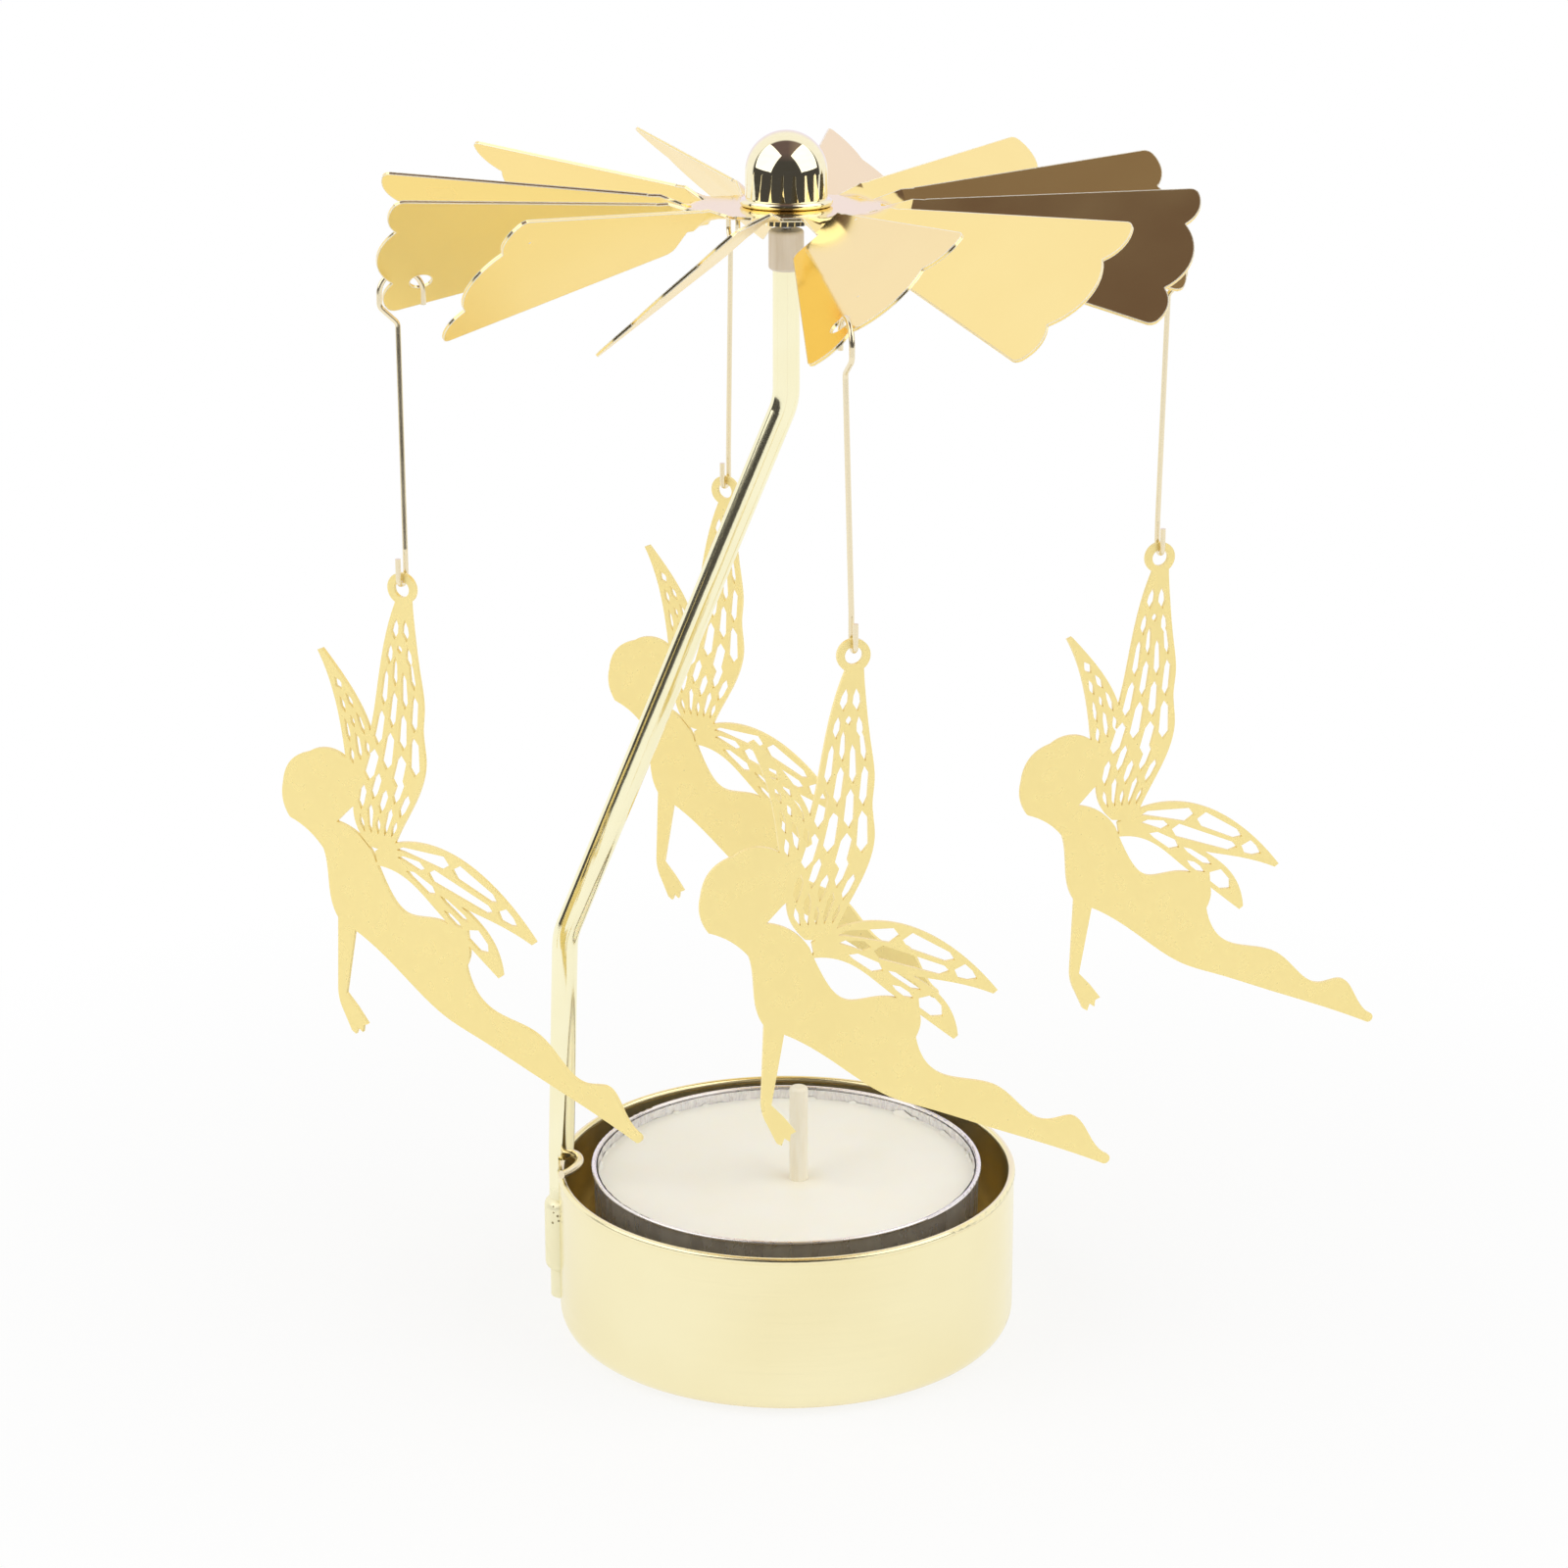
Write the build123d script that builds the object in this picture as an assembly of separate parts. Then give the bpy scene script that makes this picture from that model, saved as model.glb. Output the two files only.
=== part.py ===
# Rotating tealight carousel: a candle cup with a bent rod, and on its needle a vaned rotor
# that carries four winged figures on wire hangers.
# Millimetres, +Z up. The origin is the centre of the cup's underside, on the rotor's axis.
from build123d import *
from math import atan2, cos, degrees, hypot, radians, sin, tan
import os

# Candle cup
CUP_RADIUS = 22.2
CUP_HEIGHT = 16.15
CUP_WALL = 0.5
CUP_EDGE_RADIUS = 2.0
CUP_BEAD_RADIUS = 0.36

# Tealight, the standard 38 mm size
TEALIGHT_RADIUS = 19.0
TEALIGHT_FOOT_RADIUS = 18.5
TEALIGHT_RIM_Z = 16.43
TEALIGHT_WALL = 0.25
TEALIGHT_EDGE_RADIUS = 1.2
TEALIGHT_BEAD_RADIUS = 0.22
WAX_Z = 15.1
WAX_DISH = 0.3
WAX_CREEP = 0.5
WICK_RADIUS = 0.9
WICK_TOP_Z = 24.5
WICK_OFFSET = (1.2, -0.6)
SUSTAINER_RADIUS = 7.0
SUSTAINER_SHEET = 0.3
SUSTAINER_NECK_RADIUS = 1.3
SUSTAINER_NECK_HEIGHT = 4.5

# Support rod
ROD_RADIUS = 1.25
ROD_FOOT_X = -21.9
ROD_INNER_END_Z = 16.5
ROD_LOW_BEND = (-21.2, 40.0)
ROD_HIGH_BEND_Z = 92.7
ROD_BEND_RADIUS = 6.0
ROD_TOP_Z = 106.3
FOOT_BOTTOM_Z = 2.2
FOOT_PAD_BOTTOM_Z = 5.0
FOOT_PAD_TOP_Z = 12.7
FOOT_PAD_HALF = (1.75, 1.9)
FOOT_PAD_ROUNDING = 0.9
RIM_HOOK_RADIUS = 0.4
RIM_HOOK_LIFT = 0.7
RIM_HOOK_BULGE = 1.2
RIM_HOOK_SIDE = 4.4

# Needle and its ferrule
FERRULE_RADIUS = 1.62
FERRULE_BOTTOM_Z = 105.0
FERRULE_TOP_Z = 108.7
FERRULE_ROUNDING = 0.3
NEEDLE_RADIUS = 0.45
NEEDLE_TIP_Z = 115.3
NEEDLE_TIP_LENGTH = 1.6

# Dome and hub
PLATE_SHEET = 0.3
PLATE_Z = 110.8
DOME_RADIUS = 3.75
DOME_TOP_Z = 117.8
FLANGE_RADIUS = 4.25
FLANGE_HEIGHT = 0.7
SPIGOT_RADIUS = 2.3
SPIGOT_BOTTOM_Z = 109.3
DOME_BORE_RADIUS = 1.25
DOME_SEAT_GAP = 0.06
DOME_SEAT_HALF_DEG = 32.0
WASHER_RADIUS = 3.6
WASHER_HEIGHT = 0.8
ROTOR_TIP_DEG = 4.5

# Rotor vanes
VANE_COUNT = 12
FIRST_NECK_DEG = 198.6
VANE_TILT_DEG = 41.6
VANE_SKEW_DEG = -6.65
VANE_HALF_ANGLE_DEG = 13.3
# Some vanes are bent a little off the pattern: more tilt and more droop, in degrees
VANE_BENDS = {0: (1.5, 1.0), 1: (2.5, 0.5), 3: (-1.5, 1.0), 4: (-1.5, 2.5), 5: (-4.0, 1.0), 6: (0.5, -1),
              9: (0, -1), 10: (0, -1), 11: (0, 0.5)}
HUB_RADIUS = 8.6
NECK_HALF_WIDTH = 1.4
NECK_INNER_R = 8.8
NECK_OUTER_R = 11.5
TANG_OVERLAP = 1.2
VANE_INNER_R = 12.4
NOTCH_R = 36.2
NOTCH_SIDE = 4.0
CENTRE_LOBE_R = 37.8
END_LOBE_R = 37.0
END_LOBE_SIDE = 6.0
CORNER_R = 36.1
CORNER_ROUNDING = 0.9
INNER_ROUNDING = 1.0
HANGER_HOLE_R = 33.6
HANGER_HOLE_RADIUS = 1.0
HANGER_SIDE = -4.2

# Hangers: every third vane carries one
HANGER_NAMES = ("left", "front", "right", "back")
HANGER_STEP = 3
WIRE_RADIUS = 0.25
ARCH_RADIUS = 2.0
ARCH_AXIS_DROP = 1.12
ARCH_CENTRE_R = 35.4
TAIL_LENGTH = 1.2
HANGER_RADIUS = 35.6
HANGER_DROP = {"left": 26.85, "front": 27.45, "right": 27.95, "back": 27.65}
EYE_SHIFT = {"left": (0.3, -2.5), "front": (0.6, 0), "right": (-0.4, 0), "back": (-0.3, 0)}
SHOULDER_DROP = 0.6
SHOULDER_LENGTH = 1.6
SHOULDER_BEND = 0.8
EYE_BEND_RADIUS = 0.65
EYE_RETURN = 1.9
EYE_SHANK = 2.5
EYE_ABOVE_RING = 0.42

# Figures: flat pierced sheet, hung from a ring
FIGURE_SHEET = 0.4
FIGURE_YAW_DEG = {"left": -27.0, "front": 15.6, "right": 19.6, "back": -28.0}
RING_OUTER_RADIUS = 1.5
RING_HOLE_RADIUS = 0.8
VEIN_WIDTH = 0.4
WING_EDGE = 0.48
CELL_POINT = 0.75


def turned(profile):
    """A solid of revolution about Z from a profile of radius and height."""
    return revolve(Plane.XZ * profile, Axis.Z)


def tipped():
    """How the rotor rests on the needle's point: a little out of level, its front raised."""
    return Pos(0, 0, NEEDLE_TIP_Z) * Rot(-ROTOR_TIP_DEG, 0, 0) * Pos(0, 0, -NEEDLE_TIP_Z)


def wire_along(path, radius):
    """A round wire swept along a path."""
    return sweep(Plane(origin=path @ 0, z_dir=path % 0) * Circle(radius), path=path)


def base_cup():
    """Spun cup with a rounded foot edge and a beaded rim."""
    inner_edge = CUP_EDGE_RADIUS - CUP_WALL
    inner = CUP_RADIUS - CUP_WALL
    bead_z = CUP_HEIGHT - CUP_BEAD_RADIUS
    profile = Curve() + [
        Line((0, 0), (CUP_RADIUS - CUP_EDGE_RADIUS, 0)),
        RadiusArc((CUP_RADIUS - CUP_EDGE_RADIUS, 0), (CUP_RADIUS, CUP_EDGE_RADIUS), -CUP_EDGE_RADIUS),
        Line((CUP_RADIUS, CUP_EDGE_RADIUS), (CUP_RADIUS, bead_z)),
        Line((CUP_RADIUS, bead_z), (inner, bead_z)),
        Line((inner, bead_z), (inner, CUP_EDGE_RADIUS)),
        RadiusArc((inner, CUP_EDGE_RADIUS), (inner - inner_edge, CUP_WALL), inner_edge),
        Line((inner - inner_edge, CUP_WALL), (0, CUP_WALL)),
        Line((0, CUP_WALL), (0, 0)),
    ]
    bead = Pos(CUP_RADIUS - CUP_WALL / 2, bead_z) * Circle(CUP_BEAD_RADIUS)
    return turned(make_face(profile)) + turned(bead)


def support_rod(cup):
    """Bent rod; below the rim only its outer half goes on, flattened into a welded foot."""
    start_z = ROD_INNER_END_Z + ROD_RADIUS
    path = FilletPolyline(
        (ROD_FOOT_X, 0, start_z),
        (ROD_LOW_BEND[0], 0, ROD_LOW_BEND[1]),
        (0, 0, ROD_HIGH_BEND_Z),
        (0, 0, ROD_TOP_Z),
        radius=ROD_BEND_RADIUS,
    )
    rod = wire_along(path, ROD_RADIUS)
    rod += Pos(ROD_FOOT_X, 0, start_z) * Sphere(ROD_RADIUS)
    shank = Pos(ROD_FOOT_X, 0, FOOT_BOTTOM_Z) * Circle(ROD_RADIUS)
    pad = Pos(ROD_FOOT_X, 0, FOOT_PAD_BOTTOM_Z) * Ellipse(*FOOT_PAD_HALF)
    pad = extrude(pad, FOOT_PAD_TOP_Z - FOOT_PAD_BOTTOM_Z)
    pad = fillet(pad.edges().filter_by(GeomType.ELLIPSE), FOOT_PAD_ROUNDING)
    foot = extrude(shank, start_z - FOOT_BOTTOM_Z) + pad
    foot -= Cylinder(CUP_RADIUS, start_z, align=(Align.CENTER, Align.CENTER, Align.MIN))
    return rod + foot - cup


def rim_hook():
    """Small curl of wire from the rod's inner end round to the front, where it lies over the rim."""
    wall_x = -(CUP_RADIUS - CUP_WALL - RIM_HOOK_RADIUS)
    top_z = ROD_INNER_END_Z + RIM_HOOK_RADIUS * 2
    low_z = CUP_HEIGHT + RIM_HOOK_LIFT
    path = Spline(
        (wall_x, 0, top_z),
        (wall_x + RIM_HOOK_BULGE, -RIM_HOOK_SIDE * 0.25, (top_z + low_z) / 2),
        (wall_x + RIM_HOOK_BULGE * 0.6, -RIM_HOOK_SIDE * 0.65, low_z),
        (wall_x - RIM_HOOK_RADIUS, -RIM_HOOK_SIDE, low_z),
    )
    return wire_along(path, RIM_HOOK_RADIUS)


def needle_ferrule():
    """Sleeve with a socket for the rod below and a fine bore for the needle above."""
    height = FERRULE_TOP_Z - FERRULE_BOTTOM_Z
    low = (Align.CENTER, Align.CENTER, Align.MIN)
    sleeve = Pos(0, 0, FERRULE_BOTTOM_Z) * Cylinder(FERRULE_RADIUS, height, align=low)
    sleeve = fillet(sleeve.edges().filter_by(GeomType.CIRCLE), FERRULE_ROUNDING)
    socket = Pos(0, 0, FERRULE_BOTTOM_Z) * Cylinder(ROD_RADIUS, ROD_TOP_Z - FERRULE_BOTTOM_Z, align=low)
    bore = Pos(0, 0, FERRULE_BOTTOM_Z) * Cylinder(NEEDLE_RADIUS, height, align=low)
    return sleeve - socket - bore


def pivot_needle():
    """Steel needle standing on the rod's end, with a conical point."""
    shoulder_z = NEEDLE_TIP_Z - NEEDLE_TIP_LENGTH
    return turned(make_face(Polyline(
        (0, ROD_TOP_Z), (NEEDLE_RADIUS, ROD_TOP_Z), (NEEDLE_RADIUS, shoulder_z), (0, NEEDLE_TIP_Z),
        close=True)))


def dome_cap():
    """Polished dome, its flange on the plate, and a spigot through the hub; blind bore with a cone seat."""
    plate_top = PLATE_Z + PLATE_SHEET / 2
    flange_top = plate_top + FLANGE_HEIGHT
    round_z = DOME_TOP_Z - DOME_RADIUS
    lip = FLANGE_HEIGHT / 2
    outline = Curve() + [
        Line((0, SPIGOT_BOTTOM_Z), (SPIGOT_RADIUS, SPIGOT_BOTTOM_Z)),
        Line((SPIGOT_RADIUS, SPIGOT_BOTTOM_Z), (SPIGOT_RADIUS, plate_top)),
        Line((SPIGOT_RADIUS, plate_top), (FLANGE_RADIUS - lip, plate_top)),
        ThreePointArc(
            (FLANGE_RADIUS - lip, plate_top),
            (FLANGE_RADIUS, plate_top + lip),
            (FLANGE_RADIUS - lip, flange_top)),
        Line((FLANGE_RADIUS - lip, flange_top), (DOME_RADIUS, flange_top)),
        Line((DOME_RADIUS, flange_top), (DOME_RADIUS, round_z)),
        RadiusArc((DOME_RADIUS, round_z), (0, DOME_TOP_Z), -DOME_RADIUS),
        Line((0, DOME_TOP_Z), (0, SPIGOT_BOTTOM_Z)),
    ]
    seat_height = DOME_BORE_RADIUS / tan(radians(DOME_SEAT_HALF_DEG))
    seat_z = NEEDLE_TIP_Z + DOME_SEAT_GAP
    bore = make_face(Polyline(
        (0, SPIGOT_BOTTOM_Z), (DOME_BORE_RADIUS, SPIGOT_BOTTOM_Z),
        (DOME_BORE_RADIUS, seat_z - seat_height), (0, seat_z), close=True))
    return turned(make_face(outline)) - turned(bore)


def hub_washer():
    """Rounded ring pressed onto the spigot under the plate."""
    top = PLATE_Z - PLATE_SHEET / 2
    ring = Rectangle(WASHER_RADIUS - SPIGOT_RADIUS, WASHER_HEIGHT)
    ring = fillet(ring.vertices().group_by(Axis.X)[-1], WASHER_HEIGHT * 0.4)
    return turned(Pos((WASHER_RADIUS + SPIGOT_RADIUS) / 2, top - WASHER_HEIGHT / 2) * ring)


def vane_outline():
    """One vane in the flat: a radial sector with a lobed end, its neck on the leading edge."""
    edge = tan(radians(VANE_HALF_ANGLE_DEG))
    corner = CORNER_R * edge
    inner = VANE_INNER_R * edge
    sides = []
    for side in (1, -1):
        sides.append(Line((VANE_INNER_R, side * inner), (CORNER_R, side * corner)))
        sides.append(ThreePointArc(
            (NOTCH_R, side * NOTCH_SIDE), (END_LOBE_R, side * END_LOBE_SIDE), (CORNER_R, side * corner)))
    lobe = ThreePointArc((NOTCH_R, NOTCH_SIDE), (CENTRE_LOBE_R, 0), (NOTCH_R, -NOTCH_SIDE))
    face = make_face([*sides, lobe, Line((VANE_INNER_R, inner), (VANE_INNER_R, -inner))])
    tips = face.vertices().filter_by(lambda v: abs(v.X - CORNER_R) < 0.01)
    face = fillet(tips, CORNER_ROUNDING)
    heel = face.vertices().sort_by_distance((VANE_INNER_R, -inner))[0]
    face = fillet(heel, INNER_ROUNDING)
    tang = Pos(NECK_OUTER_R, 0) * Rectangle(
        VANE_INNER_R - NECK_OUTER_R + TANG_OVERLAP, 2 * NECK_HALF_WIDTH, align=(Align.MIN, Align.CENTER))
    return Rot(0, 0, VANE_SKEW_DEG) * face + tang


def vane_bend(index):
    """From the flat vane to the finished one: tilted about its own line and drooped at the neck."""
    tilt, droop = VANE_BENDS.get(index, (0, 0))
    droop_at_neck = Pos(NECK_INNER_R, 0, 0) * Rot(0, droop, 0) * Pos(-NECK_INNER_R, 0, 0)
    return droop_at_neck * Rot(VANE_TILT_DEG + tilt, 0, 0)


def vane_turn(index):
    """A vane's place round the hub."""
    return Rot(0, 0, FIRST_NECK_DEG + index * 360 / VANE_COUNT)


def vane(index):
    """A vane along +X: flat tang in the hub, twisted neck, then the tilted blade."""
    flat = vane_outline()
    if index % HANGER_STEP == 0:
        flat -= Rot(0, 0, VANE_SKEW_DEG) * Pos(HANGER_HOLE_R, HANGER_SIDE) * Circle(HANGER_HOLE_RADIUS)
    blade = vane_bend(index) * extrude(flat, PLATE_SHEET / 2, both=True)
    section = Rectangle(2 * NECK_HALF_WIDTH, PLATE_SHEET)
    inner = Plane((NECK_INNER_R, 0, 0), x_dir=(0, 1, 0), z_dir=(1, 0, 0)) * section
    outer = Plane((NECK_OUTER_R, 0, 0), x_dir=(0, 1, 0), z_dir=(1, 0, 0)) * section
    neck = loft([inner, vane_bend(index) * outer])
    root_length = NECK_INNER_R - HUB_RADIUS + TANG_OVERLAP
    root = Pos(NECK_INNER_R, 0, 0) * Box(
        root_length, 2 * NECK_HALF_WIDTH, PLATE_SHEET, align=(Align.MAX, Align.CENTER, Align.CENTER))
    return root + neck + blade


def rotor_plate():
    """One stamped sheet: the hub disc and its ring of twisted vanes."""
    disc = Cylinder(HUB_RADIUS, PLATE_SHEET) - Cylinder(SPIGOT_RADIUS, PLATE_SHEET)
    vanes = [vane_turn(index) * vane(index) for index in range(VANE_COUNT)]
    return Pos(0, 0, PLATE_Z) * (disc + vanes)


def vane_point(index, along, side):
    """Where a point of the flat vane lies on the finished rotor, at mid-thickness."""
    flat = Rot(0, 0, VANE_SKEW_DEG) * Pos(along, side)
    place = tipped() * Pos(0, 0, PLATE_Z) * vane_turn(index) * vane_bend(index) * flat
    return place.position


def hanger_points(index):
    """Arch centre, outward direction and the foot of the wire for one hanger."""
    holed_vane = index * HANGER_STEP
    hole = vane_point(holed_vane, HANGER_HOLE_R, HANGER_SIDE)
    notch = vane_point(holed_vane, NOTCH_R, HANGER_SIDE)
    outward = Vector(notch.X - hole.X, notch.Y - hole.Y).normalized()
    centre = vane_point(holed_vane, ARCH_CENTRE_R, HANGER_SIDE)
    half_sheet = PLATE_SHEET / 2 / cos(radians(VANE_TILT_DEG))
    centre += Vector(0, 0, half_sheet - ARCH_AXIS_DROP)
    reach = HANGER_RADIUS - hypot(centre.X, centre.Y)
    return centre, outward, centre + outward * reach


def hanger_eye(index):
    """The wire's line at the height of the ring; hand-bent, so not quite under the hook."""
    name = HANGER_NAMES[index]
    return hanger_points(index)[2] + Vector(*EYE_SHIFT[name], -HANGER_DROP[name])


def figure_plane(index):
    """Plane of one figure: origin at its ring, x towards its feet, z out of its face."""
    name = HANGER_NAMES[index]
    yaw = radians(FIGURE_YAW_DEG[name])
    face_dir = Vector(sin(yaw), -cos(yaw), 0)
    ring = hanger_eye(index) + face_dir * EYE_BEND_RADIUS
    return Plane(ring, x_dir=(cos(yaw), sin(yaw), 0), z_dir=face_dir)


def hanger(index):
    """Bent wire: arch through the vane's hole and over its notch, straight drop, eye at the foot."""
    centre, outward, foot = hanger_points(index)
    up = Vector(0, 0, 1)
    inner = centre - outward * ARCH_RADIUS
    outer = centre + outward * ARCH_RADIUS
    face_dir = figure_plane(index).z_dir
    wire_low = hanger_eye(index) + up * (EYE_ABOVE_RING + EYE_BEND_RADIUS)
    return_low = wire_low + face_dir * 2 * EYE_BEND_RADIUS
    eye_bottom = wire_low + face_dir * EYE_BEND_RADIUS - up * EYE_BEND_RADIUS
    drop = FilletPolyline(
        outer,
        outer - up * SHOULDER_DROP * 2,
        foot - up * (SHOULDER_DROP * 2 + SHOULDER_LENGTH),
        wire_low + up * EYE_SHANK,
        wire_low,
        radius=SHOULDER_BEND,
    )
    path = Wire([
        Line(inner - up * TAIL_LENGTH, inner),
        ThreePointArc(inner, centre + up * ARCH_RADIUS, outer),
        *drop.edges(),
        ThreePointArc(wire_low, eye_bottom, return_low),
        Line(return_low, return_low + up * EYE_RETURN),
    ])
    return wire_along(path, WIRE_RADIUS)


def closed_face(*curves):
    """A face bounded by curves that run end to end."""
    return make_face(list(curves))


def body_outline():
    """Flying figure in profile: head, arm held down, and legs stretched back."""
    nape = (-6.6, -22.2)
    hairline = (-10.9, -17.2)
    brow = (-13.9, -20.6)
    chin = (-13.3, -24.0)
    collar = (-9.7, -26.6)
    elbow = (-8.4, -33.3)
    wrist_front = (-8.75, -40.6)
    knuckle = (-8.2, -42.8)
    wrist_back = (-7.85, -40.9)
    armpit = (-6.6, -34.3)
    toe = (23.2, -50.5)
    toe_top = (23.5, -49.6)
    seat = (5.5, -36.0)
    shoulder = (-4.2, -26.4)
    neck_back = (-8.1, -23.7)
    fingers = ((-7.4, -44.6), (-6.95, -44.9), (-6.7, -44.2), (-6.2, -44.6), (-6.1, -43.9), (-5.6, -43.7))
    return closed_face(
        Spline(nape, (-5.4, -19.5), (-7.4, -16.9), (-9.4, -16.6), hairline),
        Spline(hairline, (-12.9, -18.3), brow),
        Spline(brow, (-13.95, -22.6), chin),
        Spline(chin, (-11.8, -24.7), collar),
        Spline(collar, (-9.3, -29.2), (-9.1, -31.5), elbow),
        Line(elbow, wrist_front),
        Spline(wrist_front, (-8.6, -41.8), knuckle),
        Polyline(knuckle, *fingers, (-6.7, -42.2), wrist_back),
        Line(wrist_back, armpit),
        Spline(armpit, (-1.2, -38.2), (3.4, -41.6), (6.4, -42.9), (11.6, -45.2), (18.0, -48.0), toe),
        ThreePointArc(toe, (23.8, -50.2), toe_top),
        Spline(toe_top, (21.9, -47.6), (20.3, -45.5), (18.2, -45.6), (13.3, -41.8), (8.2, -40.0), seat),
        Spline(seat, (5.6, -33.3), (2.4, -31.8), (-0.9, -31.7), (-3.0, -29.2), shoulder),
        Spline(shoulder, (-6.0, -24.5), neck_back),
        Line(neck_back, nape),
    )


class Wing:
    """A wing between two edges that both run from the root to the tip, pierced in rows."""

    def __init__(self, leading, trailing, rows, end):
        self.leading = Spline(*leading)
        self.trailing = Spline(*trailing)
        self.rows = rows
        self.end = end

    def face(self):
        """The wing's outline, closed across its root and its tip."""
        root = Line(self.leading @ 0, self.trailing @ 0)
        tip = Line(self.leading @ 1, self.trailing @ 1)
        return closed_face(root, self.leading, tip, self.trailing)

    def at(self, along, columns, column, share):
        """A corner of a cell: how far along the wing, in which column and how far across it."""
        low = self.leading @ along
        span = (self.trailing @ along) - low
        cell = (span.length - 2 * WING_EDGE - (columns - 1) * VEIN_WIDTH) / columns
        across = WING_EDGE + column * (cell + VEIN_WIDTH) + share * cell
        return low + span * (across / span.length)

    def cells(self):
        """Long openings with pointed ends, staggered by column, that leave veins between them."""
        faces = []
        vein = VEIN_WIDTH / self.leading.length
        starts = [row[0] for row in self.rows] + [self.end]
        staggers = [row[1] for row in self.rows] + [0]
        for row, (_, _, columns) in enumerate(self.rows):
            for column in range(columns):
                odd = column % 2
                first = starts[row] + staggers[row] * odd + vein / 2
                last = starts[row + 1] + staggers[row + 1] * odd - vein / 2
                point = min(CELL_POINT / self.leading.length, (last - first) * 0.4)
                faces.append(make_face(Polyline(
                    self.at(first, columns, column, 0.6),
                    self.at(first + point, columns, column, 1),
                    self.at(last - point, columns, column, 1),
                    self.at(last, columns, column, 0.4),
                    self.at(last - point, columns, column, 0),
                    self.at(first + point, columns, column, 0),
                    close=True)))
        return faces


def wings():
    """Two upper wings, the taller one reaching the ring, and two lower wings."""
    tall = Wing(
        leading=((-4.6, -25.6), (-6.2, -22.4), (-5.4, -18.4), (-3.9, -13.8), (-2.7, -8.0), (-0.7, -1.2)),
        trailing=((-2.2, -26.0), (-0.9, -23.2), (1.2, -19.2), (1.8, -16.4), (1.6, -13.6), (1.8, -11.6),
                  (1.5, -8.2), (1.1, -4.4), (0.9, -1.2)),
        rows=((0.06, 0, 5), (0.15, 0.05, 5), (0.27, 0.06, 4), (0.42, 0.08, 4), (0.58, 0.08, 4),
              (0.74, 0.05, 3), (0.84, 0, 2)),
        end=0.94,
    )
    short = Wing(
        leading=((-6.3, -22.0), (-6.9, -16.4), (-7.6, -12.0), (-9.4, -7.0)),
        trailing=((-4.6, -20.0), (-3.9, -14.6), (-5.7, -10.8), (-8.9, -6.8)),
        rows=((0.24, 0, 3), (0.38, 0.07, 3), (0.56, 0, 2), (0.70, 0, 1)),
        end=0.82,
    )
    upper = Wing(
        leading=((-4.0, -26.0), (-1.0, -24.7), (3.4, -24.9), (8.0, -27.2), (13.1, -32.4)),
        trailing=((-3.8, -27.0), (-0.4, -27.2), (3.0, -29.2), (8.0, -30.9), (12.7, -32.7)),
        rows=((0.12, 0, 2), (0.44, -0.13, 2), (0.74, 0, 1)),
        end=0.89,
    )
    lower = Wing(
        leading=((-3.6, -26.4), (0.6, -27.1), (4.2, -29.4), (7.4, -31.9), (9.4, -36.3)),
        trailing=((-4.0, -27.4), (-0.6, -28.3), (2.6, -31.0), (6.0, -34.0), (9.0, -36.6)),
        rows=((0.18, 0, 1), (0.42, 0.07, 2), (0.66, 0, 1)),
        end=0.86,
    )
    return tall, short, upper, lower


def figure_sheet():
    """The flat pattern of a figure, turned so that it hangs plumb under its ring."""
    sheet = Circle(RING_OUTER_RADIUS) + body_outline()
    parts = wings()
    for wing in parts:
        sheet += wing.face()
    sheet -= Circle(RING_HOLE_RADIUS)
    for wing in parts:
        for cell in wing.cells():
            sheet -= cell
    balance = sheet.center(CenterOf.MASS)
    lean_deg = degrees(atan2(balance.X, -balance.Y))
    print(f"figure: plumb after a turn of {-lean_deg:.2f} degrees, area {sheet.area:.1f} mm2")
    return Rot(0, 0, -lean_deg) * sheet


def tealight_shell():
    """Thin candle cup, slightly tapered, with a rounded foot and a rolled rim."""
    floor_z = CUP_WALL
    bead_z = TEALIGHT_RIM_Z - TEALIGHT_BEAD_RADIUS
    wall_r = TEALIGHT_RADIUS - TEALIGHT_BEAD_RADIUS
    edge = TEALIGHT_EDGE_RADIUS
    foot_r = TEALIGHT_FOOT_RADIUS - edge
    outline = Curve() + [
        Line((0, floor_z), (foot_r, floor_z)),
        RadiusArc((foot_r, floor_z), (TEALIGHT_FOOT_RADIUS, floor_z + edge), -edge),
        Line((TEALIGHT_FOOT_RADIUS, floor_z + edge), (wall_r, bead_z)),
        Line((wall_r, bead_z), (0, bead_z)),
        Line((0, bead_z), (0, floor_z)),
    ]
    bead = Pos(wall_r, bead_z) * Circle(TEALIGHT_BEAD_RADIUS)
    return turned(make_face(outline)) + turned(bead) - tealight_inside()


def tealight_inside():
    """The space inside the candle cup."""
    floor_z = CUP_WALL + TEALIGHT_WALL
    edge = TEALIGHT_EDGE_RADIUS - TEALIGHT_WALL
    low_r = TEALIGHT_FOOT_RADIUS - TEALIGHT_WALL
    high_r = TEALIGHT_RADIUS - TEALIGHT_BEAD_RADIUS - TEALIGHT_WALL
    outline = Curve() + [
        Line((0, floor_z), (low_r - edge, floor_z)),
        RadiusArc((low_r - edge, floor_z), (low_r, floor_z + edge), -edge),
        Line((low_r, floor_z + edge), (high_r, TEALIGHT_RIM_Z)),
        Line((high_r, TEALIGHT_RIM_Z), (0, TEALIGHT_RIM_Z)),
        Line((0, TEALIGHT_RIM_Z), (0, floor_z)),
    ]
    return turned(make_face(outline))


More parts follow.
